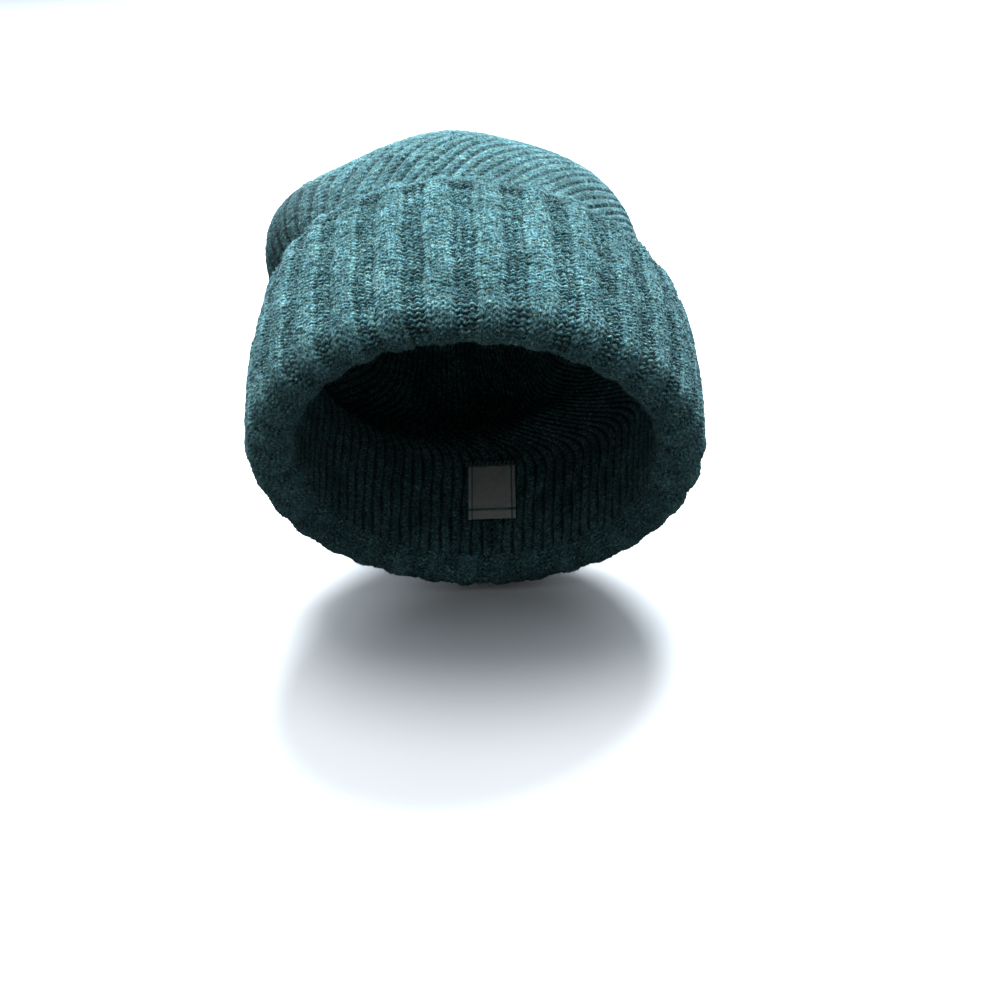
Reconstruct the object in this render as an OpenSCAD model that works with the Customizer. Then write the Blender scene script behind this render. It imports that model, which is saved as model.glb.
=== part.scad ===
// Slouchy rib-knit beanie with a turned-up cuff, shaped as it sits on a head.
// +Z is up, the front faces -Y and +X is the wearer's left.
// The origin is the centre of the head opening.

/* [Head opening] */
// Width of the opening across the temples
head_w = 154; // [140:1:170]
// Length of the opening from forehead to nape
head_l = 188; // [176:1:205]
// How far the plane of the opening rises toward the forehead, in degrees
rim_tilt = 52; // [40:1:60]

/* [Fabric] */
// Thickness of the ribbed fabric
fabric_t = 4.6; // [3:0.1:6]
// Number of ribs around the hat
ribs = 32; // [24:1:40]
// Relief of a rib above the mean surface
rib_relief = 0.9; // [0:0.1:1.4]

/* [Cuff] */
// Height of the turned-up cuff
cuff_h = 68; // [50:1:85]
// How far the outside of the fold stands off the head
cuff_stand = 20.5; // [16:0.5:26]
// How far the outside of the cuff's top edge stands off the head
cuff_top_stand = 18; // [14:0.5:24]
// Outward belly of the cuff between fold and edge
cuff_belly = 2; // [0:0.5:5]
// Radius of the cast-on edge bead
edge_r = 2.6; // [2:0.1:3.5]

/* [Crown] */
// Height of the shoulder of the crown above the opening, along the hat's axis
shoulder_h = 97; // [88:1:104]
// Half width of the shoulder on the wearer's right
shoulder_right = 89; // [84:1:94]
// Half width of the shoulder on the wearer's left
shoulder_left = 78; // [75:1:88]
// Height of the gathered tip above the opening, along the hat's axis
tip_h = 158; // [150:1:168]
// How far the gathered tip lies behind the axis
tip_back = 52; // [40:1:60]
// How far the slack pouch hangs out behind the axis
pouch_back = 42; // [34:1:50]

/* [Label] */
// Width of the care label
label_w = 24; // [16:1:34]
// Length of the care label
label_l = 30; // [20:1:38]

/* [Hidden] */

na = 3 * ribs;               // points around: three to a rib
ra = head_w / 2;             // half width of the opening
rb = head_l / 2;             // half length of the opening
in_off = 0.7 + fabric_t / 2; // middle of the inner layer, outside the head
fold_off = cuff_stand - fabric_t / 2;
fold_r = (fold_off - in_off) / 2;
fold_w = 8;                  // the fold's centre, above the plane of the opening
seam_t = 1.6;                // seam ridge thickness
seam_w = 5;                  // seam ridge width
split_gap = 0.016;           // clearance at the pouch line, in ring units

// The hat's own axes: u across, v toward the forehead in the plane of the
// opening, w from the opening toward the crown.
function W(p) = [p[0], -p[1] * cos(rim_tilt) + p[2] * sin(rim_tilt),
                 p[1] * sin(rim_tilt) + p[2] * cos(rim_tilt)];

// Rings of the inner tube from the opening to the tip:
// [u, v, w, pitch, half width right, half width left, half length, squareness, skew, crest]
S = [
    [0, 0, 0, 0, ra + 3, ra + 3, rb + 3, 0, 0, 0],
    [1, 0, 34, 0, ra + 5, ra + 5, rb + 4, 0, 0, 0],
    [2, -1, 66, 1, ra + 6, ra + 5.5, rb + 1, -0.005, 0, 0],
    [-8, -9, shoulder_h, 10, shoulder_right, shoulder_left, rb + 1, -0.045, 0.03, 0.03],
    [-8, -pouch_back, 127, 17, 65, 55, rb - 15, 0.01, 0, 0],
    [-11, -tip_back, tip_h - 10, 9, 46, 44, rb - 42, 0, 0, 0],
    [-11, -tip_back - 1, tip_h, 6, 8, 8, 8, 0, 0, 0]
];
function cm(a, b, c, d, f) = 0.5 * (2 * b + (c - a) * f + (2 * a - 5 * b + 4 * c - d) * f * f
                                    + (3 * b - a - 3 * c + d) * f * f * f);
function par(q) = let (n = len(S), i = min(max(floor(q), 0), n - 2), b = S[i], c = S[i + 1],
                       a = i > 0 ? S[i - 1] : 2 * b - c, d = i < n - 2 ? S[i + 2] : 2 * c - b)
    cm(a, b, c, d, q - i);

// Middle of the inner tube; th = 0 at the forehead, 90 on the wearer's left.
tube = function (q, th)
    let (r = par(q), k = 1 + r[7] * cos(4 * th) + r[8] * sin(2 * th) + r[9] * cos(6 * th),
         a = sin(th) > 0 ? r[5] : r[4])
    W([r[0] + a * sin(th) * k, r[1] + r[6] * cos(th) * k * cos(r[3]),
       r[2] + r[6] * cos(th) * k * sin(r[3])]);

// Middle of the fold: half a turn from the inner layer to the cuff, u in 0..1.
fold = function (u, th)
    let (o = (in_off + fold_off) / 2 - fold_r * cos(180 * u), w = fold_w - fold_r * sin(180 * u))
    W([(ra + o) * sin(th), (rb + o) * cos(th), w]);

// Middle of the cuff, u = 0 at the fold and 1 at the cast-on edge.
cuff = function (u, th)
    let (o1 = cuff_top_stand - fabric_t / 2 + 3 * sin(th) - 2 * sin(2 * th),
         o = fold_off + (o1 - fold_off) * u + cuff_belly * sin(180 * u),
         h = cuff_h + 2 * cos(2 * th) - sin(2 * th) - cos(3 * th))
    W([-2 * u + (ra + o) * sin(th), -4 * u + (rb + o) * cos(th), fold_w + (h - fold_w) * u]);

function nrm(F, u, th) = let (n = cross(F(u, th + 1) - F(u, th - 1), F(u + 0.01, th) - F(u - 0.01, th)))
    n / norm(n);
function relief(th) = rib_relief * cos(ribs * th);

// Closed shell of a surface F(u, th) with the fabric's thickness: U(i, th) gives
// the path value of row i, side +1 carries the ribs.
module shell(F, U, rows, relief_on = 1) {
    pts = [for (side = [1, -1]) for (i = [0:rows]) for (j = [0:na - 1])
        let (th = 360 * j / na, u = U(i, th))
        F(u, th) + nrm(F, u, th) * side * (fabric_t / 2 + (side > 0 ? relief_on * relief(th) : 0))];
    m = (rows + 1) * na;
    polyhedron(pts, concat(
        [for (i = [0:rows - 1]) for (j = [0:na - 1]) let (a = i * na + j, b = i * na + (j + 1) % na)
            each [[a, a + na, b], [b, a + na, b + na]]],
        [for (i = [0:rows - 1]) for (j = [0:na - 1]) let (a = m + i * na + j, b = m + i * na + (j + 1) % na)
            each [[a, b, a + na], [b, b + na, a + na]]],
        [for (j = [0:na - 1]) let (a = j, b = (j + 1) % na) each [[a, b, m + a], [b, m + b, m + a]]],
        [for (j = [0:na - 1]) let (a = rows * na + j, b = rows * na + (j + 1) % na)
            each [[a, m + a, b], [b, m + a, m + b]]]
    ));
}

// Tube of radius r swept around a closed path P(th).
module bead(P, r, sides = 6) {
    pts = [for (j = [0:na - 1]) let (th = 360 * j / na, t = P(th + 1) - P(th - 1), x = t / norm(t),
                                    z0 = W([0, 0, 1]), y = cross(z0, x) / norm(cross(z0, x)), z = cross(x, y))
           for (k = [0:sides - 1]) P(th) + r * (cos(360 * k / sides) * y + sin(360 * k / sides) * z)];
    polyhedron(pts, [for (j = [0:na - 1]) for (k = [0:sides - 1])
        let (a = j * sides + k, b = j * sides + (k + 1) % sides, c = ((j + 1) % na) * sides + k,
             d = ((j + 1) % na) * sides + (k + 1) % sides) each [[a, c, b], [b, c, d]]]);
}

// Ridge that follows the back line of F, from u0 to u1, standing on its inner side.
module ridge(F, u0, u1, rows, side, clear = 0.3, w = seam_w, t = seam_t) {
    pts = [for (i = [0:rows]) let (u = u0 + (u1 - u0) * i / rows, c = F(u, 180), n = nrm(F, u, 180) * side,
                                   b = c + n * (fabric_t / 2 + clear))
        each [b + [-w / 2, 0, 0], b + [w / 2, 0, 0], b + [w / 2 - 1, 0, 0] + n * t, b + [1 - w / 2, 0, 0] + n * t]];
    polyhedron(pts, concat([[0, 1, 2, 3], [rows * 4 + 3, rows * 4 + 2, rows * 4 + 1, rows * 4]],
        [for (i = [0:rows - 1]) for (k = [0:3]) let (a = i * 4 + k, b = i * 4 + (k + 1) % 4)
            each side > 0 ? [[a, b, a + 4], [b, b + 4, a + 4]] : [[a, a + 4, b], [b, a + 4, b + 4]]]));
}

// The line around the crown where the slack pouch starts.
function split_q(th) = 3.3 + 0.9 * cos(th);

tube_q0 = fold_w / 34 + 0.005;
tip = W([-11, -tip_back - 1, tip_h]);
tip_n = W([0, -sin(6), cos(6)]);

module cuff_knit() {
    color("#4F8A8C") shell(cuff, function (i, th) 0.003 + 0.994 * i / 6, 6);
}
module fold_knit() {
    color("#3A6A6C") shell(fold, function (i, th) 0.004 + 0.992 * i / 6, 6);
}
module cast_on_edge() {
    color("#6FAEB0") bead(function (th)
        let (c = cuff(1, th), n = W([0, 0, 1])) c + n * (edge_r + 0.2 + 0.5 * (1 + cos(ribs * th))), edge_r);
}
module cuff_seam() {
    color("#2F5557") ridge(cuff, 0.08, 0.96, 6, -1);
}
module body_knit() {
    color("#4F8A8C") shell(tube, function (i, th) tube_q0 + (split_q(th) - tube_q0) * i / 8, 8, 0.8);
}
module body_seam() {
    color("#2F5557") ridge(tube, tube_q0 + 0.1, split_q(180) - 0.05, 8, -1);
}
module pouch_knit() {
    color("#4F8A8C") shell(tube, function (i, th) let (q = split_q(th) + split_gap) q + (6 - q) * i / 8, 8, 0.8);
}
module pouch_seam() {
    color("#2F5557") ridge(tube, split_q(180) + 0.12, 5.5, 20, -1, 1.5);
}
module at_tip() {
    translate(tip) rotate([-atan2(tip_n[1], tip_n[2]), 0, 0]) children();
}
module gather_yarn() {
    color("#2F5557") at_tip() rotate_extrude($fn = 48) translate([5.4, 0]) circle(r = 2.1, $fn = 20);
}
module gather_knot() {
    color("#2F5557") at_tip() sphere(r = 3.0, $fn = 24);
}

// The label hangs from its sewn edge on the inner side of the back wall.
label_v = -(rb - 3);
label_top = 56;
module on_back() { // local x across, y toward the crown, z into the hat
    multmatrix([[1, 0, 0, 1], [0, sin(rim_tilt), -cos(rim_tilt), 0], [0, cos(rim_tilt), sin(rim_tilt), 0]])
        children();
}
module care_label() {
    color("#D9DAD6") on_back() translate([-label_w / 2, label_top - label_l, label_v])
        cube([label_w, label_l, 1.4]);
}
module label_stitches() {
    color("#7E8C8C") on_back() for (k = [-4:4])
        translate([k * label_w / 9 - 0.9, label_top + 0.5, label_v]) cube([1.8, 2.6, 1.2]);
}

cuff_knit();
fold_knit();
cast_on_edge();
cuff_seam();
body_knit();
body_seam();
pouch_knit();
pouch_seam();
gather_yarn();
gather_knot();
care_label();
label_stitches();
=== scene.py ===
"""Slouchy rib-knit beanie with a turned-up cuff: knitted fabric, yarn, halo and label
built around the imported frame."""

import math

import bpy
import numpy as np
from mathutils import Matrix, Vector


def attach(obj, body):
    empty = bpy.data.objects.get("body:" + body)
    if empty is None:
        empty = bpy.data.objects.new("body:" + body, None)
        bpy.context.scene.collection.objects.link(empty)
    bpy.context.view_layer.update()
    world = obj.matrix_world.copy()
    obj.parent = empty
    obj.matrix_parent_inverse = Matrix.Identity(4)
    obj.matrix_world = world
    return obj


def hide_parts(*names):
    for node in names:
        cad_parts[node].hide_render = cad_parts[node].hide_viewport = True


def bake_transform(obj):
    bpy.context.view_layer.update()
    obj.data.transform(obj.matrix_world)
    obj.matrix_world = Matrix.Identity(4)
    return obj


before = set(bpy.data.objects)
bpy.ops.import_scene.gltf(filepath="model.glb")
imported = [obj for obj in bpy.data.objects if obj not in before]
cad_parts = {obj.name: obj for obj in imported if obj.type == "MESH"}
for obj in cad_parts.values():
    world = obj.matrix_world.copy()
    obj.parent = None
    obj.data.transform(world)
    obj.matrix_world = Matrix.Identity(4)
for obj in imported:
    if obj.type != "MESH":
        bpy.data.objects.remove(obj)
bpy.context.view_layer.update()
rng = np.random.default_rng(11)

# ---------------------------------------------------------------- camera
F_PX = 1348.84


def make_camera():
    e, yaw, roll, dist = math.radians(22.4), math.radians(4.0), math.radians(-3.9), 0.580
    d = np.array([math.sin(yaw) * math.cos(e), -math.cos(yaw) * math.cos(e), math.sin(e)])
    right = np.array([math.cos(yaw), math.sin(yaw), 0])
    up = np.cross(d, right)
    R = right * math.cos(roll) + up * math.sin(roll)
    U = -right * math.sin(roll) + up * math.cos(roll)
    M0 = np.array([R, U, d])
    td = np.array([(476.5 - 500) / F_PX, (500 - 475) / F_PX, -1.0])
    td /= np.linalg.norm(td)
    a = np.array([0, 0, -1.0])
    v, c = np.cross(a, td), a @ td
    K = np.array([[0, -v[2], v[1]], [v[2], 0, -v[0]], [-v[1], v[0], 0]])
    M = (np.eye(3) + K + K @ K / (1 + c)) @ M0
    pos = d * dist
    cam = bpy.data.objects.new("camera", bpy.data.cameras.new("camera"))
    bpy.context.scene.collection.objects.link(cam)
    m = Matrix.Identity(4)
    for i in range(3):
        for j in range(3):
            m[i][j] = M[j][i]
        m[i][3] = pos[i]
    cam.matrix_world = m
    cam.data.sensor_width = 36
    cam.data.lens = F_PX * 36 / 1000
    cam.data.clip_start = 0.01
    bpy.context.scene.camera = cam


make_camera()

# ---------------------------------------------------------------- surfaces, in mm
HW, HL, TILT = 154.0, 188.0, 52.0
FT = 4.6
CH, CS, CTS, CB, ER = 68.0, 20.5, 18.0, 2.0, 2.6
SH, SR, SL, TIPH, TIPB, PB = 97.0, 89.0, 78.0, 158.0, 52.0, 42.0
RA, RB = HW / 2, HL / 2
IN_OFF, FOLD_OFF, FOLD_W = 0.7 + FT / 2, CS - FT / 2, 8.0
FOLD_R = (FOLD_OFF - IN_OFF) / 2
TQ0 = FOLD_W / 34 + 0.005
WALES = 192
RINGS = np.array([
    [0, 0, 0, 0, RA + 3, RA + 3, RB + 3, 0, 0, 0],
    [1, 0, 34, 0, RA + 5, RA + 5, RB + 4, 0, 0, 0],
    [2, -1, 66, 1, RA + 6, RA + 5.5, RB + 1, -0.005, 0, 0],
    [-8, -9, SH, 10, SR, SL, RB + 1, -0.045, 0.03, 0.03],
    [-8, -PB, 127, 17, 65, 55, RB - 15, 0.01, 0, 0],
    [-11, -TIPB, TIPH - 10, 9, 46, 44, RB - 42, 0, 0, 0],
    [-11, -TIPB - 1, TIPH, 6, 8, 8, 8, 0, 0, 0],
], float)
CT, ST = math.cos(math.radians(TILT)), math.sin(math.radians(TILT))
UP = np.array([0, ST, CT])  # the hat's own axis


def W(u, v, w):
    u, v, w = np.broadcast_arrays(u, v, w)
    return np.stack([u, -v * CT + w * ST, v * ST + w * CT], -1).astype(float)


def par(q):
    n = len(RINGS)
    i = np.clip(np.floor(q).astype(int), 0, n - 2)
    f = (q - i)[..., None]
    b, c = RINGS[i], RINGS[i + 1]
    a = np.where((i > 0)[..., None], RINGS[np.maximum(i - 1, 0)], 2 * b - c)
    d = np.where((i < n - 2)[..., None], RINGS[np.minimum(i + 2, n - 1)], 2 * c - b)
    return 0.5 * (2 * b + (c - a) * f + (2 * a - 5 * b + 4 * c - d) * f * f + (3 * b - a - 3 * c + d) * f ** 3)


def tube(q, th):
    q, th = np.broadcast_arrays(np.asarray(q, float), np.asarray(th, float))
    r = par(q)
    s, c = np.sin(th), np.cos(th)
    k = 1 + r[..., 7] * np.cos(4 * th) + r[..., 8] * np.sin(2 * th) + r[..., 9] * np.cos(6 * th)
    a = np.where(s > 0, r[..., 5], r[..., 4])
    d = np.radians(r[..., 3])
    return W(r[..., 0] + a * s * k, r[..., 1] + r[..., 6] * c * k * np.cos(d), r[..., 2] + r[..., 6] * c * k * np.sin(d))


def fold(u, th):
    o = (IN_OFF + FOLD_OFF) / 2 - FOLD_R * np.cos(np.pi * u)
    return W((RA + o) * np.sin(th), (RB + o) * np.cos(th), FOLD_W - FOLD_R * np.sin(np.pi * u))


def cuff(u, th):
    s = np.sin(th)
    o1 = CTS - FT / 2 + 3 * s - 2 * np.sin(2 * th)
    o = FOLD_OFF + (o1 - FOLD_OFF) * u + CB * np.sin(np.pi * u)
    h = CH + 2 * np.cos(2 * th) - np.sin(2 * th) - np.cos(3 * th)
    return W(-2 * u + (RA + o) * s, -4 * u + (RB + o) * np.cos(th), FOLD_W + (h - FOLD_W) * u)


def unit(v):
    return v / np.maximum(np.linalg.norm(v, axis=-1, keepdims=True), 1e-12)


def smooth(x, a, b):
    t = np.clip((x - a) / (b - a), 0, 1)
    return t * t * (3 - 2 * t)


def grid_normals(P):
    """Unit normals of a grid of points, rows open and columns closed."""
    du = np.gradient(P, axis=0)
    dt = np.roll(P, -1, 1) - np.roll(P, 1, 1)
    return unit(np.cross(dt, du))


# ---------------------------------------------------------------- noise helpers
def lattice(n, m, seed):
    return np.random.default_rng(seed).uniform(-1, 1, (n, m))


def soft_noise(x, y, px, py, seed):
    """Smooth noise with periods px lattice cells round x in 0..1 and py rows along y in 0..1."""
    g = lattice(py + 2, px, seed)
    X = (np.mod(x, 1.0)) * px
    Y = np.clip(y, 0, 1) * py
    i, j = np.floor(X).astype(int), np.floor(Y).astype(int)
    fx, fy = X - i, Y - j
    fx, fy = fx * fx * (3 - 2 * fx), fy * fy * (3 - 2 * fy)
    a, b = g[j, i % px], g[j, (i + 1) % px]
    c, d = g[j + 1, i % px], g[j + 1, (i + 1) % px]
    return (a * (1 - fx) + b * fx) * (1 - fy) + (c * (1 - fx) + d * fx) * fy


STITCH = np.random.default_rng(5).uniform(-1, 1, (4, 260, WALES))  # one set of values per stitch


def per_stitch(k, x, R):
    return STITCH[k, np.clip(np.floor(R).astype(int), 0, 259), np.mod(np.floor(x).astype(int), WALES)]


# ---------------------------------------------------------------- knitted relief, in mm
def relief_wide(x, R, th, inside=False):
    """Cuff and fold: three knit and three purl wales. x in wales with a purl column centred on 0.
    Returns the height, how far into a purl column a point is, and the height within its own stitch."""
    x = x + 0.16 * np.sin(2 * np.pi * R / 19 + 2.1 * np.floor((x + 3) / 6)) + 0.08 * np.sin(2 * np.pi * R / 7.3 + x)
    xx = np.mod(x + 1.5, 6.0)
    if inside:
        xx = np.mod(xx + 3, 6.0)
    f = np.mod(xx, 1.0)
    Rj = R + 0.22 * per_stitch(0, x, R)
    a = np.abs(f - 0.5) * 2
    amp = 1 + 0.55 * per_stitch(1, x, R)
    level = 0.20 * per_stitch(2, x, R)
    knit = 0.34 * np.exp(-(((a - 0.52) / 0.27) ** 2)) - 0.16 + amp * 0.31 * np.cos(2 * np.pi * (Rj - 0.75 * a)) - 0.16 * smooth(a, 0.85, 1.0) + 0.6 * level
    purl = amp * 0.50 * np.cos(2 * np.pi * (Rj - 0.22 * np.cos(2 * np.pi * f))) + 0.16 * np.cos(2 * np.pi * f) + level
    d = np.abs(xx - 4.5)  # 0 at the middle of the knit column, 3 at the middle of the purl one
    side = smooth(d, 0.95, 2.05)
    macro = 0.62 - 0.16 * (d / 1.5) ** 2 * (1 - side) - 1.20 * side
    fine = knit * (1 - side) + purl * side
    return macro + fine, side, fine


def relief_narrow(x, R, inside=False):
    """Body: one knit and one purl wale, the purl wale drawn in."""
    x = x + 0.13 * np.sin(2 * np.pi * R / 17 + 1.7 * np.floor(x / 2)) + (1.0 if inside else 0.0)
    y = np.abs(np.mod(x / 2 + 0.5, 1.0) - 0.5)  # 0 at the knit column, 0.5 in the groove
    Rj = R + 0.20 * per_stitch(0, x, R)
    a = y / 0.36
    amp = 1 + 0.5 * per_stitch(1, x, R)
    fine = 0.26 * (np.exp(-(((a - 0.5) / 0.30) ** 2)) - 0.5) + amp * 0.26 * np.cos(2 * np.pi * (Rj - 0.8 * a)) + 0.16 * per_stitch(2, x, R)
    side = smooth(y, 0.30, 0.47)
    knit = 0.50 - 0.42 * a * a + fine
    groove = -0.95 + 0.14 * np.cos(2 * np.pi * (Rj + 0.5))
    return knit * (1 - side) + groove * side, side, fine


# ---------------------------------------------------------------- materials
def lin(c):
    return [((x / 255 + 0.055) / 1.055) ** 2.4 if x / 255 > 0.04045 else x / 255 / 12.92 for x in c] + [1]


def new_material(name):
    m = bpy.data.materials.new(name)
    m.use_nodes = True
    nt = m.node_tree
    return m, nt, nt.nodes["Principled BSDF"]


def node(nt, kind, **values):
    n = nt.nodes.new(kind)
    for k, v in values.items():
        if k in n.inputs:
            n.inputs[k].default_value = v
        else:
            setattr(n, k, v)
    return n


def noise(nt, vector, scale, detail=3, rough=0.6):
    n = node(nt, "ShaderNodeTexNoise", Scale=scale, Detail=detail, Roughness=rough)
    nt.links.new(vector, n.inputs["Vector"])
    return n.outputs["Fac"]


def math_node(nt, op, a, b=None, clamp=False):
    n = nt.nodes.new("ShaderNodeMath")
    n.operation = op
    n.use_clamp = clamp
    for i, x in enumerate((a, b)):
        if x is None:
            continue
        if isinstance(x, (int, float)):
            n.inputs[i].default_value = x
        else:
            nt.links.new(x, n.inputs[i])
    return n.outputs[0]


def ramp(nt, fac, stops):
    n = nt.nodes.new("ShaderNodeValToRGB")
    e = n.color_ramp.elements
    while len(e) < len(stops):
        e.new(0.5)
    for k, (p, c) in zip(e, stops):
        k.position, k.color = p, c
    nt.links.new(fac, n.inputs[0])
    return n.outputs["Color"]


def multiply(nt, a, b):
    n = nt.nodes.new("ShaderNodeMix")
    n.data_type, n.blend_type = "RGBA", "MULTIPLY"
    n.inputs["Factor"].default_value = 1.0
    nt.links.new(a, n.inputs["A"])
    nt.links.new(b, n.inputs["B"])
    return n.outputs["Result"]


def wool(name, dark, mid, light, painted_shade_low=0.13, painted_highlight_high=1.42, fleck=0.55):
    """Heathered wool: fibres of three tones, with painted shade down into the stitches and a painted highlight on
    their tops, and a fibrous bump.
    """
    m, nt, b = new_material(name)
    obj = nt.nodes.new("ShaderNodeTexCoord").outputs["Object"]
    uv = node(nt, "ShaderNodeUVMap", uv_map="knit").outputs["UV"]
    mp = node(nt, "ShaderNodeMapping")
    mp.inputs["Scale"].default_value = (7.0, 1.6, 1.0)
    nt.links.new(uv, mp.inputs["Vector"])
    streak = noise(nt, mp.outputs[0], 1.0, 4, 0.7)
    fine = noise(nt, obj, 2300, 3, 0.65)
    yarn = noise(nt, obj, 620, 3, 0.6)
    patch = noise(nt, obj, 75, 3, 0.55)
    s = math_node(nt, "ADD", math_node(nt, "MULTIPLY", streak, 0.34), math_node(nt, "MULTIPLY", fine, fleck * 0.75))
    s = math_node(nt, "ADD", s, math_node(nt, "MULTIPLY", yarn, 0.30))
    s = math_node(nt, "ADD", s, math_node(nt, "MULTIPLY", patch, 0.22))
    total = 0.34 + fleck * 0.75 + 0.30 + 0.22
    s = math_node(nt, "DIVIDE", s, total)
    col = ramp(nt, s, [(0.385, lin(dark)), (0.495, lin(mid)), (0.62, lin(light))])
    # painted shade and painted highlight: a value each mesh carries darkens the colour in the stitches' hollows and
    # lightens it on their tops
    painted_shade = node(nt, "ShaderNodeAttribute", attribute_name="painted_shade").outputs["Fac"]
    lo, hi = [painted_shade_low, painted_shade_low, painted_shade_low, 1], [painted_highlight_high, painted_highlight_high, painted_highlight_high, 1]
    shade = ramp(nt, painted_shade, [(0.05, lo), (0.55, [0.80, 0.80, 0.80, 1]), (0.92, hi)])
    pits = ramp(nt, noise(nt, obj, 1150, 2, 0.5), [(0.36, [0.30, 0.27, 0.24, 1]), (0.48, [1, 1, 1, 1])])
    # the heather: blue, green and brown fibres mixed unevenly
    tint = ramp(nt, noise(nt, obj, 340, 3, 0.65), [(0.32, [0.86, 0.99, 1.13, 1]), (0.50, [1, 1, 1, 1]), (0.66, [1.22, 0.99, 0.86, 1])])
    col = multiply(nt, col, tint)
    nt.links.new(multiply(nt, multiply(nt, col, shade), pits), b.inputs["Base Color"])
    bump = node(nt, "ShaderNodeBump", Strength=0.8, Distance=0.0006)
    h = math_node(nt, "ADD", math_node(nt, "MULTIPLY", fine, 0.6), streak)
    nt.links.new(h, bump.inputs["Height"])
    nt.links.new(bump.outputs[0], b.inputs["Normal"])
    rough = ramp(nt, fine, [(0.3, [0.82] * 3 + [1]), (0.7, [0.97] * 3 + [1])])
    nt.links.new(rough, b.inputs["Roughness"])
    b.inputs["Specular IOR Level"].default_value = 0.16
    b.inputs["Sheen Weight"].default_value = 0.30
    b.inputs["Sheen Roughness"].default_value = 0.55
    b.inputs["Sheen Tint"].default_value = lin((168, 214, 222))
    return m


DARK, MID, LIGHT = (21, 36, 34), (67, 111, 114), (152, 212, 217)
WOOL = wool("wool_rib", DARK, MID, LIGHT)
WOOL_EDGE = wool("wool_edge", (20, 41, 41), (68, 115, 119), (148, 209, 215), 0.35, 1.2)
YARN = wool("wool_seam", (20, 38, 40), (52, 88, 92), (112, 158, 164), 0.45, 1.1)


def halo_material():
    m, nt, b = new_material("wool_halo")
    tone = node(nt, "ShaderNodeAttribute", attribute_name="tone").outputs["Fac"]
    obj = nt.nodes.new("ShaderNodeTexCoord").outputs["Object"]
    n = noise(nt, obj, 900, 2, 0.5)
    s = math_node(nt, "ADD", math_node(nt, "MULTIPLY", tone, 0.8), math_node(nt, "MULTIPLY", n, 0.25))
    col = ramp(nt, s, [(0.12, lin((18, 36, 37))), (0.45, lin((70, 116, 120))), (0.95, lin((164, 216, 222)))])
    nt.links.new(col, b.inputs["Base Color"])
    b.inputs["Roughness"].default_value = 0.9
    b.inputs["Specular IOR Level"].default_value = 0.15
    b.inputs["Sheen Weight"].default_value = 0.2
    return m


HALO = halo_material()


def tape_material():
    """Woven label tape: fine warp and weft."""
    m, nt, b = new_material("label_tape")
    uv = node(nt, "ShaderNodeUVMap", uv_map="knit").outputs["UV"]
    w1 = node(nt, "ShaderNodeTexWave", Scale=22.0, Distortion=0.6, bands_direction="X")
    w2 = node(nt, "ShaderNodeTexWave", Scale=26.0, Distortion=0.6, bands_direction="Y")
    for w in (w1, w2):
        w.inputs["Detail"].default_value = 2
        nt.links.new(uv, w.inputs["Vector"])
    h = math_node(nt, "ADD", w1.outputs["Fac"], w2.outputs["Fac"])
    obj = nt.nodes.new("ShaderNodeTexCoord").outputs["Object"]
    n = noise(nt, obj, 500, 3)
    s = math_node(nt, "ADD", math_node(nt, "MULTIPLY", h, 0.3), math_node(nt, "MULTIPLY", n, 0.4))
    col = ramp(nt, s, [(0.15, lin((184, 186, 179))), (0.8, lin((238, 238, 232)))])
    # a woven border line along both selvedges and near the hem
    sep = nt.nodes.new("ShaderNodeSeparateXYZ")
    nt.links.new(uv, sep.inputs[0])
    teal, plain = [0.16, 0.36, 0.38, 1], [1, 1, 1, 1]
    across = math_node(nt, "ABSOLUTE", sep.outputs["X"])
    l1 = ramp(nt, across, [(0.0, plain), (0.80, plain), (0.815, teal), (0.865, teal), (0.88, plain)])
    down = math_node(nt, "DIVIDE", sep.outputs["Y"], 1.25)
    l2 = ramp(nt, down, [(0.0, plain), (0.80, plain), (0.812, teal), (0.842, teal), (0.855, plain)])
    nt.links.new(multiply(nt, multiply(nt, col, l1), l2), b.inputs["Base Color"])
    bump = node(nt, "ShaderNodeBump", Strength=0.5, Distance=0.0002)
    nt.links.new(h, bump.inputs["Height"])
    nt.links.new(bump.outputs[0], b.inputs["Normal"])
    b.inputs["Roughness"].default_value = 0.72
    b.inputs["Specular IOR Level"].default_value = 0.3
    b.inputs["Sheen Weight"].default_value = 0.15
    return m


TAPE = tape_material()


def thread_material():
    m, nt, b = new_material("label_thread")
    obj = nt.nodes.new("ShaderNodeTexCoord").outputs["Object"]
    n = noise(nt, obj, 1600, 3)
    col = ramp(nt, n, [(0.3, lin((92, 112, 114))), (0.7, lin((150, 168, 170)))])
    nt.links.new(col, b.inputs["Base Color"])
    b.inputs["Roughness"].default_value = 0.5
    return m


THREAD = thread_material()


# ---------------------------------------------------------------- mesh helpers
def raw_mesh(name, co_mm, faces, mat, uv=None, point=None):
    """faces: list of arrays (n, k) of vertex indices; uv matches the loops in order."""
    me = bpy.data.meshes.new(name)
    me.vertices.add(len(co_mm))
    me.vertices.foreach_set("co", (np.asarray(co_mm) / 1000).astype(np.float32).ravel())
    loops = np.concatenate([f.ravel() for f in faces]).astype(np.int32)
    starts, at = [], 0
    for f in faces:
        starts.append(at + np.arange(len(f)) * f.shape[1])
        at += f.size
    starts = np.concatenate(starts).astype(np.int32)
    me.loops.add(len(loops))
    me.loops.foreach_set("vertex_index", loops)
    me.polygons.add(len(starts))
    me.polygons.foreach_set("loop_start", starts)
    me.polygons.foreach_set("use_smooth", np.ones(len(starts), bool))
    me.update(calc_edges=True)
    if uv is not None:
        me.uv_layers.new(name="knit").data.foreach_set("uv", np.asarray(uv, np.float32).ravel())
    for k, v in (point or {}).items():
        me.attributes.new(k, "FLOAT", "POINT").data.foreach_set("value", np.asarray(v, np.float32).ravel())
    me.materials.append(mat)
    o = bpy.data.objects.new(name, me)
    bpy.context.scene.collection.objects.link(o)
    return o


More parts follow.
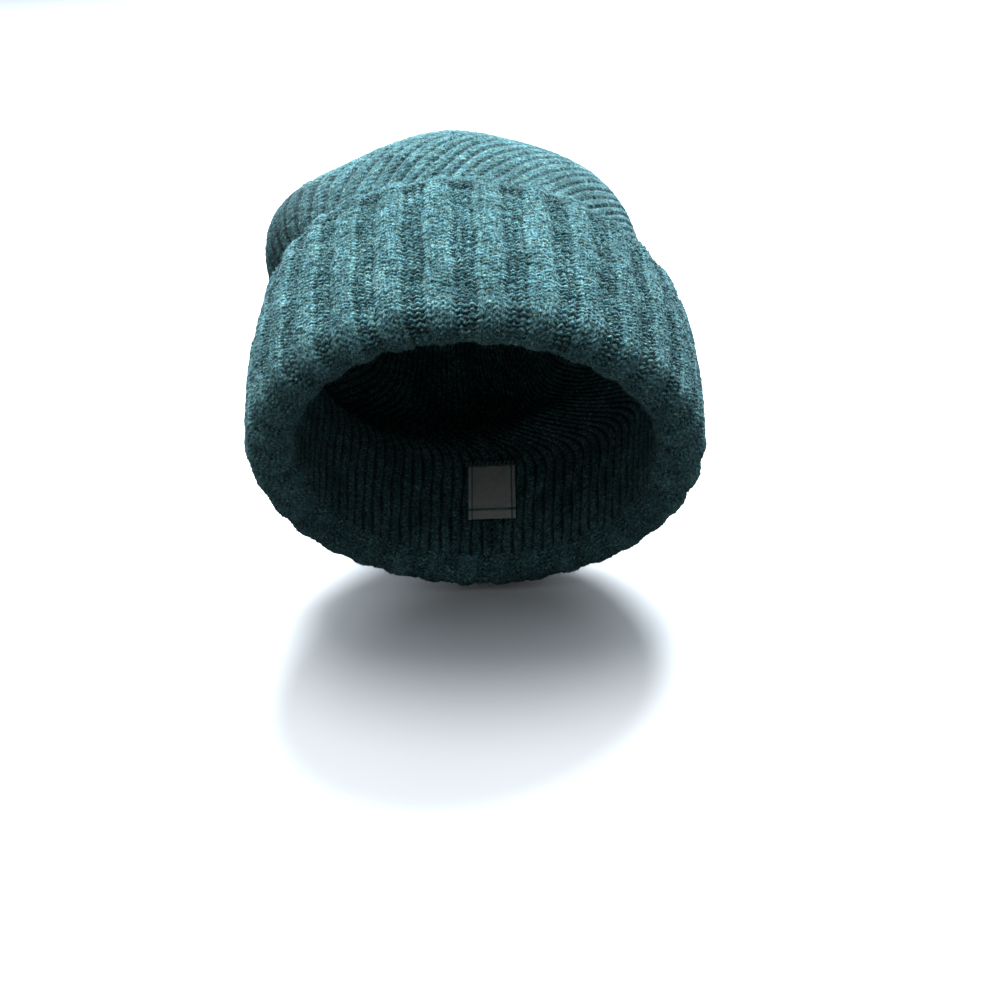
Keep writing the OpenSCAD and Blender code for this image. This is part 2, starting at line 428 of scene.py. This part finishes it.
def grid_piece(name, P, mat, u, v, painted_shade, close_rows=True):
    """P (n, m, 3) closed round the columns, and round the rows too where it is a shell."""
    n, m, _ = P.shape
    i = np.arange(n if close_rows else n - 1)[:, None] + np.zeros((1, m), int)
    j = np.arange(m)[None, :] + np.zeros((len(i), 1), int)
    i2, j2 = (i + 1) % n, (j + 1) % m
    q = np.stack([i * m + j, i * m + j2, i2 * m + j2, i2 * m + j], -1).reshape(-1, 4)
    vv = np.append(v, v[-1] + (v[1] - v[0]))
    ju = np.append(u, u[-1] + (u[1] - u[0]))
    uv = np.stack([np.stack([ju[j], vv[i]], -1), np.stack([ju[j + 1], vv[i]], -1),
                   np.stack([ju[j + 1], vv[i + 1]], -1), np.stack([ju[j], vv[i + 1]], -1)], 2)
    return raw_mesh(name, P.reshape(-1, 3), [q], mat, uv.reshape(-1, 2), {"painted_shade": painted_shade})


def frames(path, closed):
    """Tangent and two normals along a path, carried without twist."""
    t = np.roll(path, -1, 0) - np.roll(path, 1, 0) if closed else np.gradient(path, axis=0)
    t = unit(t)
    n = np.cross(t[0], [0.31, 0.87, 0.38])
    n /= np.linalg.norm(n)
    N = np.zeros_like(path)
    for k in range(len(path)):
        n = n - t[k] * (n @ t[k])
        n /= np.linalg.norm(n)
        N[k] = n
    return t, N, np.cross(t, N)


def cords(name, paths, radius, mat, closed=False, sides=10):
    """Round yarns along several paths as one mesh, with rounded ends."""
    co, quads, tris, uvs, uvt, painted_shade, base = [], [], [], [], [], [], 0
    for path in paths:
        path = np.asarray(path, float)
        t, A, B = frames(path, closed)
        n = len(path)
        r = np.full(n, radius, float)
        if not closed:
            k = min(3, n // 3)
            for e in range(k):
                f = math.sqrt(1 - (1 - (e + 0.4) / k) ** 2)
                r[e] *= f
                r[n - 1 - e] *= f
        ang = np.arange(sides) * 2 * np.pi / sides
        ring = path[:, None] + r[:, None, None] * (np.cos(ang)[None, :, None] * A[:, None] + np.sin(ang)[None, :, None] * B[:, None])
        co.append(ring.reshape(-1, 3))
        i = np.arange(n if closed else n - 1)[:, None] + np.zeros((1, sides), int)
        j = np.arange(sides)[None] + np.zeros((len(i), 1), int)
        i2, j2 = (i + 1) % n, (j + 1) % sides
        quads.append(base + np.stack([i * sides + j, i * sides + j2, i2 * sides + j2, i2 * sides + j], -1).reshape(-1, 4))
        s = np.arange(n + 1) * 0.25
        uvs.append(np.stack([np.stack([j / sides, s[i]], -1), np.stack([(j + 1) / sides, s[i]], -1),
                             np.stack([(j + 1) / sides, s[i + 1]], -1), np.stack([j / sides, s[i + 1]], -1)], 2).reshape(-1, 2))
        painted_shade.append(np.full(n * sides, 0.75))
        m = n * sides
        if not closed:
            co.append(np.stack([path[0] - t[0] * radius * 0.05, path[-1] + t[-1] * radius * 0.05]))
            jj = np.arange(sides)
            tris.append(base + np.stack([np.full(sides, m), (jj + 1) % sides, jj], -1))
            e = (n - 1) * sides
            tris.append(base + np.stack([np.full(sides, m + 1), e + jj, e + (jj + 1) % sides], -1))
            uvt.append(np.zeros((sides * 6, 2)))
            painted_shade.append(np.full(2, 0.75))
            m += 2
        base += m
    faces = [np.concatenate(quads)] + ([np.concatenate(tris)] if tris else [])
    uv = np.concatenate(uvs + uvt)
    return raw_mesh(name, np.concatenate(co), faces, mat, uv, {"painted_shade": np.concatenate(painted_shade)})


def plied(path, turns, amp, plies=2, closed=False, phase=0.0):
    """Strands twisted round a path."""
    t, A, B = frames(np.asarray(path, float), closed)
    s = np.linspace(0, 1, len(path), endpoint=not closed)
    out = []
    for k in range(plies):
        a = 2 * np.pi * (turns * s + k / plies) + phase
        out.append(path + amp * (np.cos(a)[:, None] * A + np.sin(a)[:, None] * B))
    return out


def spikes(name, P, N, D, length, width, tone):
    """Fine fibres, each a thin closed point from P along D."""
    side = unit(np.cross(D, unit(N + 0.3 * rng.normal(size=N.shape))))
    up = np.cross(D, side)
    w = width[:, None]
    a, b, c = P + side * w, P - 0.5 * side * w + 0.87 * up * w, P - 0.5 * side * w - 0.87 * up * w
    tip = P + D * length[:, None]
    co = np.stack([a, b, c, tip], 1).reshape(-1, 3)
    k = np.arange(len(P))[:, None] * 4
    f = np.concatenate([k + [0, 1, 3], k + [1, 2, 3], k + [2, 0, 3], k + [0, 2, 1]])
    return raw_mesh(name, co, [f], HALO, None, {"tone": np.repeat(tone, 4)})


def halo(name, P, N, weight, count, seed, lo=1.0, hi=3.4, lift=(6, 48)):
    """Fibres that lie close to a knitted surface and curl off it."""
    r = np.random.default_rng(seed)
    n, m, _ = P.shape
    cell = np.linalg.norm(np.cross(np.roll(P, -1, 1) - P, np.gradient(P, axis=0)), axis=-1) * weight
    idx = r.choice(n * m, count, p=(cell / cell.sum()).ravel())
    i, j = idx // m, idx % m
    n0 = unit(N[i, j])
    t0 = unit(np.roll(P, -1, 1)[i, j] - P[i, j])
    b0 = np.cross(n0, t0)
    az = r.uniform(0, 2 * np.pi, count)
    el = np.radians(lift[0] + (lift[1] - lift[0]) * r.uniform(0, 1, count) ** 1.8)
    D = unit((np.cos(az)[:, None] * t0 + np.sin(az)[:, None] * b0) * np.cos(el)[:, None] + n0 * np.sin(el)[:, None])
    D = unit(D + np.array([0, 0, -0.10]))
    L = lo + (hi - lo) * r.uniform(0, 1, count) ** 2
    tone = np.where(r.uniform(0, 1, count) < 0.2, r.uniform(0.0, 0.3, count), r.uniform(0.45, 1.0, count))
    base = P[i, j] - n0 * 0.25 + t0 * r.uniform(-0.3, 0.3, count)[:, None]
    return spikes(name, base, n0, D, L, r.uniform(0.045, 0.10, count), tone)


# ---------------------------------------------------------------- cuff and fold: one strip of fabric
PURL0 = 2.96  # a purl column's middle, degrees from the front


def build_cuff():
    per = 6
    m = WALES * per
    x = np.arange(m) / per
    th = np.radians(x * 360 / WALES + PURL0)
    RF, RC = 14.0, 38.0
    k = 5
    nf, nc = int(RF * k), int(RC * k)
    uf = np.arange(nf) / nf
    uc = np.arange(nc + 1) / nc
    Pm = np.concatenate([fold(uf[:, None], th[None]), cuff(uc[:, None] * 0.995, th[None])])
    R = np.concatenate([uf * RF, RF + uc * RC])
    N = grid_normals(Pm)
    X, RR = np.broadcast_arrays(x[None], R[:, None])
    H, side, fine = relief_wide(X, RR, th)
    ang = np.mod(X / WALES, 1)
    slack = 1 + 0.22 * soft_noise(ang, RR / 70, 43, 9, 26)  # tension differs from rib to rib and along each
    H = fine * slack + (H - fine) * (0.88 + 0.30 * soft_noise(ang, RR / 70, 37, 6, 27))
    # the narrow pit where each purl column stops under the edge, and a gently uneven edge
    top = smooth(RR, RF + RC - 5.5, RF + RC - 2.0)
    H = H - 0.9 * top * side * (0.7 + 0.3 * per_stitch(3, np.floor((X + 3) / 6) * 6, RR * 0))
    H = H + 0.55 * soft_noise(ang, RR / 70, 17, 4, 21) + 0.28 * soft_noise(ang, RR / 70, 61, 17, 22)
    H = H + 0.22 * soft_noise(ang, RR / 70, 32, 6, 23) * (1 - side)
    H = H + 0.24 * soft_noise(ang, RR / 70, 311, 67, 24) + 0.16 * soft_noise(ang, RR / 70, 701, 149, 25)
    outer = Pm + N * (FT / 2 - 0.25 + H)[..., None]
    # painted shade: darker in the low parts of each stitch, in the purl columns and in the pit under the edge, with a
    # painted highlight on the stitch tops
    painted_shade = np.clip(0.55 + 0.70 * fine * slack + 0.10 * (0.5 - side) - 0.36 * top * side, 0, 1)
    # rounded top, leaning to the crown
    t_up = unit(Pm[-1] - Pm[-2])
    caps, cap_painted_shade = [], []
    for s in np.linspace(0.12, 0.88, 7):
        a = math.pi * s
        caps.append(Pm[-1] + N[-1] * ((FT / 2 - 0.25 + H[-1]) * math.cos(a) if a < math.pi / 2 else FT / 2 * math.cos(a))[..., None]
                    + t_up * (1.6 * math.sin(a)) if a < math.pi / 2 else
                    Pm[-1] + N[-1] * (FT / 2 * math.cos(a)) + t_up * (1.6 * math.sin(a)))
        cap_painted_shade.append(painted_shade[-1] * 0.9)
    ni = 40
    ui = np.linspace(0.99, 0.0, ni)
    Pi = np.concatenate([cuff(ui[:, None] * 0.995, th[None]), fold(np.linspace(0.96, 0, 20)[:, None], th[None])])
    Ni = -grid_normals(Pi)
    Ri = np.linspace(RF + RC, 0, len(Pi))
    Hi, _, _ = relief_wide(np.broadcast_to(x[None], Pi.shape[:2]), np.broadcast_to(Ri[:, None], Pi.shape[:2]), th, inside=True)
    inner = Pi - Ni * (FT / 2 - 0.4 + 0.35 * Hi)[..., None]
    P = np.concatenate([outer, np.array(caps), inner])
    # painted shade: the rounded top a little darker than the last row, and the whole inside of the cuff one darker
    # level
    C = np.concatenate([painted_shade, np.array(cap_painted_shade), np.full(inner.shape[:2], 0.35)])
    v = np.concatenate([R, R[-1] + np.arange(1, 8) * 0.25, R[-1] + 2 + np.arange(len(Pi)) * 1.0])
    o = grid_piece("rib_cuff", P, WOOL, x, v, C)
    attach(o, "hat")
    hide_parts("cuff_knit", "fold_knit")
    w = np.ones(outer.shape[:2])
    h = halo("halo_cuff", outer, N, w, 49000, 31)
    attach(h, "hat")
    return th


CUFF_TH = build_cuff()


# ---------------------------------------------------------------- cast-on edge: a chain of loops
def build_edge():
    per = 8
    m = WALES * per
    x = np.arange(m) / per
    th = np.radians(x * 360 / WALES + PURL0)
    c0 = cuff(np.full(m, 1.0), th)
    n0 = unit(np.cross(np.roll(c0, -1, 0) - np.roll(c0, 1, 0), c0 - cuff(np.full(m, 0.98), th)))
    xx = np.mod(x + 1.5, 6.0)
    side = smooth(np.abs(xx - 4.5), 0.9, 2.0)
    uneven = soft_noise(x / WALES, 0 * x, 41, 1, 41)
    hgt = 1.5 + 0.7 * (1 - side) + 0.6 * uneven
    rad = 1.9 + 0.35 * (1 - side)
    c = c0 + UP * hgt[:, None] - n0 * (1.1 + 0.5 * side)[:, None]
    nb = 28
    beta = np.arange(nb) / nb * 2 * np.pi
    f = np.mod(x, 1.0)[None]
    wrap = np.abs(np.mod(beta + np.pi / 2, 2 * np.pi) - np.pi)[:, None] / np.pi  # 1 at the crest
    amp = 1 + 0.3 * STITCH[1, 200, np.mod(np.floor(x).astype(int), WALES)][None]
    hgt2 = amp * 0.30 * np.cos(2 * np.pi * (f + 0.55 * np.abs(np.cos(beta))[:, None])) + 0.10 * np.cos(6 * beta)[:, None]
    rr = rad[None] + hgt2
    P = c[None] + rr[..., None] * (np.cos(beta)[:, None, None] * n0[None] + np.sin(beta)[:, None, None] * UP)
    # painted shade: darker where the loops dip and over the purl columns, with a painted highlight on the loops' tops
    painted_shade = np.clip(0.60 + hgt2 * 0.7 - 0.20 * side[None], 0, 1)
    o = grid_piece("edge_chain", P, WOOL_EDGE, x, np.arange(nb) * 0.16, painted_shade)
    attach(o, "hat")
    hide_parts("cast_on_edge")
    N = P - c[None]
    keep = (np.sin(beta)[:, None] > -0.5) * np.ones((1, m))
    h = halo("halo_edge", P, N, keep, 9000, 32, 1.0, 3.2)
    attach(h, "hat")


build_edge()

NRHO, NTH = 301, 181
_q = np.linspace(TQ0, 6, 400)
_th = np.radians(np.linspace(0, 360, NTH))
_P = tube(_q[:, None], _th[None])
_s = np.concatenate([np.zeros((1, NTH)), np.cumsum(np.linalg.norm(np.diff(_P, axis=0), axis=-1), 0)])
_s /= _s[-1]
RHO = np.linspace(0, 1, NRHO)
QTAB = np.stack([np.interp(RHO, _s[:, k], _q) for k in range(NTH)], 1)


def q_of(rho, th):
    a, b = np.clip(rho, 0, 1) * (NRHO - 1), np.mod(th / (2 * np.pi), 1) * (NTH - 1)
    i, j = np.minimum(a.astype(int), NRHO - 2), np.minimum(b.astype(int), NTH - 2)
    f, g = a - i, b - j
    return (QTAB[i, j] * (1 - f) + QTAB[i + 1, j] * f) * (1 - g) + (QTAB[i, j + 1] * (1 - f) + QTAB[i + 1, j + 1] * f) * g


# how far round, in degrees, each rib has wandered by the time it reaches the top
_tx = np.array([-180, -150, -120, -90, -60, -40, -20, 0, 20, 45, 70, 100, 140, 180.0])
_ty = np.array([8, 3, 0, 3, 8, 14, 24, 33, 39, 44, 45, 38, 22, 8.0])
_fx = np.arange(-180, 180, 1.0)
_fy = np.interp(_fx, _tx, _ty)
_k = np.hanning(23)
_fy = np.convolve(np.concatenate([_fy, _fy, _fy]), _k / _k.sum(), "same")[360:720]
_gx = np.linspace(0, 6, 241)
_gy = np.interp(_gx, [0, 1.7, 2.0, 3.3, 4.2, 6], [0, 0, 0.15, 1.3, 1.5, 1.5])
_k = np.hanning(15)
_gy = np.convolve(np.pad(_gy, 7, "edge"), _k / _k.sum(), "valid")


def wander(q, th):
    d = np.mod(np.degrees(th) + 180, 360) - 180
    return np.radians(np.interp(d, np.append(_fx, 180), np.append(_fy, _fy[0]))) * np.interp(q, _gx, _gy)


def solve_theta(rho, thm):
    th = thm + 0.0
    for _ in range(60):
        th = 0.5 * th + 0.5 * (thm + wander(q_of(rho, th), th))
    return th


NR = 124.0


def body_grid(R, per, inside=False):
    m = WALES * per
    x = np.arange(m) / per
    # solve on a coarse net, then refine
    rc, xc = np.linspace(0, 1, 101), np.linspace(0, 1, 193)
    tc = solve_theta(np.broadcast_to(rc[:, None], (101, 193)), np.broadcast_to(2 * np.pi * xc[None], (101, 193))) - 2 * np.pi * xc[None]
    rho = R / NR
    a, b = np.clip(rho, 0, 1) * 100, x / WALES * 192
    i, j = np.minimum(a.astype(int), 99), np.minimum(b.astype(int), 191)
    f, g = (a - i)[:, None], (b - j)[None]
    i, j = i[:, None], j[None]
    th = 2 * np.pi * x[None] / WALES + (tc[i, j] * (1 - f) + tc[i + 1, j] * f) * (1 - g) + (tc[i, j + 1] * (1 - f) + tc[i + 1, j + 1] * f) * g
    q = q_of(np.broadcast_to(rho[:, None], th.shape), th)
    P = tube(q, th)
    e, d = 0.01, math.radians(1)
    N = unit(np.cross(tube(q, th + d) - tube(q, th - d), tube(q + e, th) - tube(q - e, th)))
    X, RR = np.broadcast_arrays(x[None], R[:, None])
    H, side, fine = relief_narrow(X, RR, inside)
    return x, th, q, P, N, H, side, fine, X, RR


def build_body():
    k = 5
    low = 33.0
    R = np.concatenate([np.arange(0, low, 1.0), np.arange(low, NR + 1e-6, 1.0 / k)])
    x, th, q, P, N, H, side, fine, X, RR = body_grid(R, 4)
    ang = np.mod(th / (2 * np.pi), 1)
    y = q / 6
    fade = smooth(5.9 - q, 0, 0.8)
    big = 0.9 * soft_noise(ang, y, 9, 9, 51) + 0.5 * soft_noise(ang, y, 23, 21, 52)
    open_crown = smooth(q, 1.9, 2.3)
    scale = 1 - 0.45 * smooth(q, 4.9, 5.9)
    calm = 1 - 0.42 * smooth(q, 1.8, 2.1) * (1 - smooth(q, 2.7, 3.3)) * smooth(np.sin(th + 0.25), 0.0, 0.6) * smooth(np.cos(th), -0.1, 0.4)
    calm = calm * (0.85 + 0.25 * soft_noise(ang, y, 15, 13, 53))
    # the slack ribs on the -x side of the pouch: deeper grooves, fewer fibres, and a painted shade over the whole
    # region
    deep_and_shaded = 1 + 1.15 * smooth(-P[..., 0], 50, 76) * smooth(P[..., 1], 10, 45) * open_crown * (1 - smooth(q, 4.8, 5.5))
    side = side ** (1 / deep_and_shaded)  # the slack ribs stand further apart here
    H = (H - 0.75 * side * (deep_and_shaded - 1)) * scale * calm
    H = H + 0.15 * soft_noise(ang, y, 301, 190, 54)
    rise = FT / 2 - 0.35 + H + big * fade * open_crown
    outer = P + N * rise[..., None]
    # painted shade: darker in the grooves and the low parts of the stitches, with a painted highlight on the stitch
    # tops, and darker over the slack region on the -x side of the pouch
    painted_shade = np.clip(0.60 + 0.75 * fine / deep_and_shaded ** 0.7 - 0.50 * side * calm * deep_and_shaded ** 1.3 - 0.31 * (deep_and_shaded - 1), 0, 1)
    # gathered end: the ribs turn down into the ring, with a painted shade that darkens them towards it
    tip = W(-11.0, -TIPB - 1, TIPH)
    axis = W(0.0, -math.sin(math.radians(6)), math.cos(math.radians(6)))
    rows, gather_painted_shade = [], []
    rim = outer[-1]
    for s in np.linspace(0.15, 1, 7):
        flat = rim + (tip - rim) * (0.965 * s)
        rows.append(flat - axis * ((0.6 + 1.6 * s) * s * s))
        gather_painted_shade.append(painted_shade[-1] * (1 - 0.5 * s))
    Ri = np.concatenate([np.arange(NR, 0, -0.5), [0.0]])
    xi, thi, qi, Pi, Ni, Hi, sidei, finei, _, RRi = body_grid(Ri, 4, inside=True)
    Hi = Hi * (1 - 0.6 * smooth(qi, 4.6, 5.9))
    angi = np.mod(thi / (2 * np.pi), 1)
    inner = Pi - Ni * (FT / 2 - 0.55 + 0.8 * Hi)[..., None]
    # painted shade inside: darker in the grooves, with a painted highlight on the stitch tops
    inner_painted_shade = np.clip(0.55 + 0.7 * finei - 0.45 * sidei, 0, 1)
    # close the shell inside the gathered end
    last = rows[-1] - axis * 3.2
    P_all = np.concatenate([outer, np.array(rows), last[None], inner])
    C_all = np.concatenate([painted_shade, np.array(gather_painted_shade), gather_painted_shade[-1][None], inner_painted_shade])
    v = np.concatenate([R, NR + np.arange(1, 9) * 0.3, NR + 3 + (NR - Ri)])
    o = grid_piece("rib_body", P_all, WOOL, x, v, C_all)
    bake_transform(o)
    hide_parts("body_knit", "pouch_knit")
    w = smooth(q, 1.75, 2.0) * (0.6 + 0.4 * (1 - side)) * (1 - smooth(q, 5.7, 5.95)) / deep_and_shaded ** 1.5
    front = w * (outer[..., 1] < 60)
    back = w * (outer[..., 1] >= 60)
    for name, ww, cnt, seed in (("halo_crown", front, 49000, 33), ("halo_pouch", back, 40000, 34)):
        h = halo(name, outer, N, ww, cnt, seed, 0.9, 2.8, (4, 38))
        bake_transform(h)


build_body()


# ---------------------------------------------------------------- seams, gather and label
def back_line(F, u0, u1, n, lift):
    u = np.linspace(u0, u1, n)
    th = np.full(n, math.pi)
    e, d = 0.01, math.radians(1)
    N = unit(np.cross(F(u, th + d) - F(u, th - d), F(u + e, th) - F(u - e, th)))
    return F(u, th) - N * (FT / 2 + lift), -N


def seam(name, F, u0, u1, pitch, lift):
    """Two edges drawn together: a plied ridge with whip stitches over it."""
    c, n = back_line(F, u0, u1, 260, lift)
    length = np.linalg.norm(np.diff(c, axis=0), axis=1).sum()
    paths = []
    for sx in (-1, 1):
        edge = c + np.array([sx * 1.25, 0, 0])
        paths += plied(edge, length / 5.2, 0.42, 2, phase=sx)
    t = unit(np.gradient(c, axis=0))
    for s in np.arange(pitch / 2, length - pitch, pitch):
        k = int(s / length * 259)
        a = np.linspace(-1, 1, 13)
        j = 0.35 * rng.uniform(-1, 1)
        paths.append(c[k] + np.outer(a * 2.15, [1, 0, 0]) + np.outer(a * (pitch * 0.42) + j, t[k]) + np.outer(1.05 * np.sqrt(np.clip(1.05 - a * a, 0, 1)) - 0.25, n[k]))
    return cords(name, paths, 0.52, YARN, sides=8)


s1 = seam("seam_cuff", cuff, 0.08, 0.96, 2.9, 1.0)
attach(s1, "hat")
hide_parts("cuff_seam")
s2 = seam("seam_back", tube, TQ0 + 0.1, 5.55, 2.9, 0.9)
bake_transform(s2)
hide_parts("body_seam", "pouch_seam")


def build_gather():
    tip = W(-11.0, -TIPB - 1, TIPH)
    ax = W(0.0, -math.sin(math.radians(6)), math.cos(math.radians(6)))
    ex = np.array([1.0, 0, 0])
    ey = np.cross(ax, ex)
    a = np.linspace(0, 2 * np.pi, 240, endpoint=False)
    r = 5.3 + 0.35 * np.cos(13 * a)
    ring = tip + r[:, None] * (np.cos(a)[:, None] * ex + np.sin(a)[:, None] * ey) + ax * (1.2 + 0.55 * np.cos(13 * a + 0.8))[:, None]
    o = cords("gather_ring", plied(ring, 9, 0.62, 2, closed=True), 0.82, YARN, closed=True)
    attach(o, "pouch")
    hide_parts("gather_yarn")
    s = np.linspace(0, 2 * np.pi, 160, endpoint=False)
    kx, ky, kz = np.sin(s) + 2 * np.sin(2 * s), np.cos(s) - 2 * np.cos(2 * s), -np.sin(3 * s)
    knot = tip + 0.85 * (kx[:, None] * ex + ky[:, None] * ey) + (0.9 * kz + 1.0)[:, None] * ax
    paths = plied(knot, 7, 0.42, 2, closed=True)
    o = cords("gather_bow", paths, 0.62, YARN, closed=True)
    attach(o, "pouch")
    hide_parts("gather_knot")


build_gather()

LABEL_V, LABEL_TOP, LW, LL = -(RB - 3), 56.0, 24.0, 30.0


def build_label():
    """Blank woven tape with selvedge edges and a turned hem, hanging from its top edge."""
    nu, nv = 49, 61
    u = np.linspace(-1, 1, nu)
    s = np.linspace(0, 1, nv)
    U, S = np.meshgrid(u, s)
    curl = 0.22 * np.sin(math.pi * S) + 0.30 * S ** 2 * (1 - U ** 2) + 0.10 * np.sin(2.2 * U + 3 * S)
    x = 1 + U * (LW / 2 - 0.15)
    w = LABEL_TOP - S * LL
    hem = 0.16 * smooth(S, 0.86, 0.88) + 0.16 * (1 - smooth(S, 0.10, 0.12))
    selv = 0.07 * smooth(np.abs(U), 0.93, 0.96)
    v0 = LABEL_V + 0.42 + curl * 0.9
    half = 0.22 + hem / 2 + selv
    top, bot = W(x, v0 + half, w), W(x, v0 - half, w)
    n = nu * nv
    co = np.concatenate([top.reshape(-1, 3), bot.reshape(-1, 3)])
    i, j = np.meshgrid(np.arange(nv - 1), np.arange(nu - 1), indexing="ij")
    a = (i * nu + j).ravel()
    front = np.stack([a, a + nu, a + nu + 1, a + 1], -1)
    back = n + front[:, ::-1]
    rim = []
    border = [(0, k) for k in range(nu)] + [(k, nu - 1) for k in range(1, nv)] + [(nv - 1, k) for k in range(nu - 2, -1, -1)] + [(k, 0) for k in range(nv - 2, 0, -1)]
    ids = np.array([p * nu + r for p, r in border])
    nxt = np.roll(ids, -1)
    rim = np.stack([ids, nxt, n + nxt, n + ids], -1)
    faces = [front, back, rim]
    uvv = np.stack([U * LW / 24, S * LL / 24], -1).reshape(-1, 2)
    uvv = np.concatenate([uvv, uvv])
    uv = np.concatenate([uvv[f.ravel()] for f in faces])
    o = raw_mesh("care_tape", co, faces, TAPE, uv, {"painted_shade": np.full(len(co), 0.8)})
    for p in o.data.polygons:
        pass
    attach(o, "label")
    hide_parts("care_label")
    # stitches along the sewn edge
    paths = []
    for k in range(-5, 6):
        cx = 1 + k * LW / 11.2
        t = np.linspace(-1, 1, 15)
        yy = LABEL_TOP + 1.7 + t * 1.35
        xx = cx + 0.55 * t
        vv = LABEL_V + 0.30 + 0.75 * np.sqrt(np.clip(1 - t * t, 0, 1)) - 0.35
        paths += plied(W(xx, vv, yy), 2.2, 0.16, 2)
    bar = np.linspace(-1, 1, 90)
    paths += plied(W(1 + bar * (LW / 2 + 0.2), LABEL_V + 0.10 + 0 * bar, LABEL_TOP + 0.75 + 0.1 * np.sin(20 * bar)), 14, 0.15, 2)
    t = cords("label_stitching", paths, 0.24, THREAD, sides=8)
    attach(t, "hat")
    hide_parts("label_stitches")


build_label()

# ---------------------------------------------------------------- floor, light
FLOOR_Z = -0.0915


def build_stage():
    bpy.ops.mesh.primitive_plane_add(size=60, location=(0, 0, FLOOR_Z))
    floor = bpy.context.object
    floor.name = "floor"
    m, nt, b = new_material("floor_paint")
    obj = nt.nodes.new("ShaderNodeTexCoord").outputs["Object"]
    n = noise(nt, obj, 6, 2)
    seen = ramp(nt, n, [(0.3, [0.74, 0.74, 0.74, 1]), (0.7, [0.76, 0.76, 0.76, 1])])
    # the floor gives back less light than it shows, as a dark room under the hat would
    lp = nt.nodes.new("ShaderNodeLightPath").outputs["Is Camera Ray"]
    mix = nt.nodes.new("ShaderNodeMix")
    mix.data_type = "RGBA"
    nt.links.new(lp, mix.inputs["Factor"])
    mix.inputs["A"].default_value = (0.06, 0.06, 0.06, 1)
    nt.links.new(seen, mix.inputs["B"])
    nt.links.new(mix.outputs["Result"], b.inputs["Base Color"])
    b.inputs["Roughness"].default_value = 0.95
    b.inputs["Specular IOR Level"].default_value = 0.0
    floor.data.materials.append(m)
    world = bpy.data.worlds.new("sky")
    bpy.context.scene.world = world
    world.use_nodes = True
    nt = world.node_tree
    bg = nt.nodes["Background"]
    tc = nt.nodes.new("ShaderNodeTexCoord").outputs["Generated"]
    sep = nt.nodes.new("ShaderNodeSeparateXYZ")
    nt.links.new(tc, sep.inputs[0])
    sky = ramp(nt, sep.outputs["Z"], [(0.0, [0.02, 0.019, 0.018, 1]), (0.34, [0.080, 0.080, 0.078, 1]), (0.62, [0.50, 0.545, 0.58, 1]), (0.93, [1.66, 1.88, 2.12, 1])])
    lp = nt.nodes.new("ShaderNodeLightPath").outputs["Is Camera Ray"]
    mix = nt.nodes.new("ShaderNodeMix")
    mix.data_type = "RGBA"
    nt.links.new(lp, mix.inputs["Factor"])
    nt.links.new(sky, mix.inputs["A"])
    mix.inputs["B"].default_value = (0.90, 0.93, 0.96, 1)
    nt.links.new(mix.outputs["Result"], bg.inputs["Color"])
    bg.inputs["Strength"].default_value = 1.0

    def area(name, loc, target, size, energy, color):
        li = bpy.data.lights.new(name, "AREA")
        li.shape, li.size, li.energy, li.color = "DISK", size, energy, color
        o = bpy.data.objects.new(name, li)
        bpy.context.scene.collection.objects.link(o)
        o.location = loc
        o.rotation_euler = (Vector(target) - Vector(loc)).to_track_quat("-Z", "Y").to_euler()

    area("key", (0.5, 2.2, 5.0), (0, 0, 0.0), 2.6, 730, (0.92, 0.99, 1.06))
    area("fill", (-0.3, -0.9, 5.2), (0, 0, 0.0), 2.6, 150, (1.0, 0.985, 0.95))
    bpy.context.scene.view_settings.view_transform = "Standard"


build_stage()
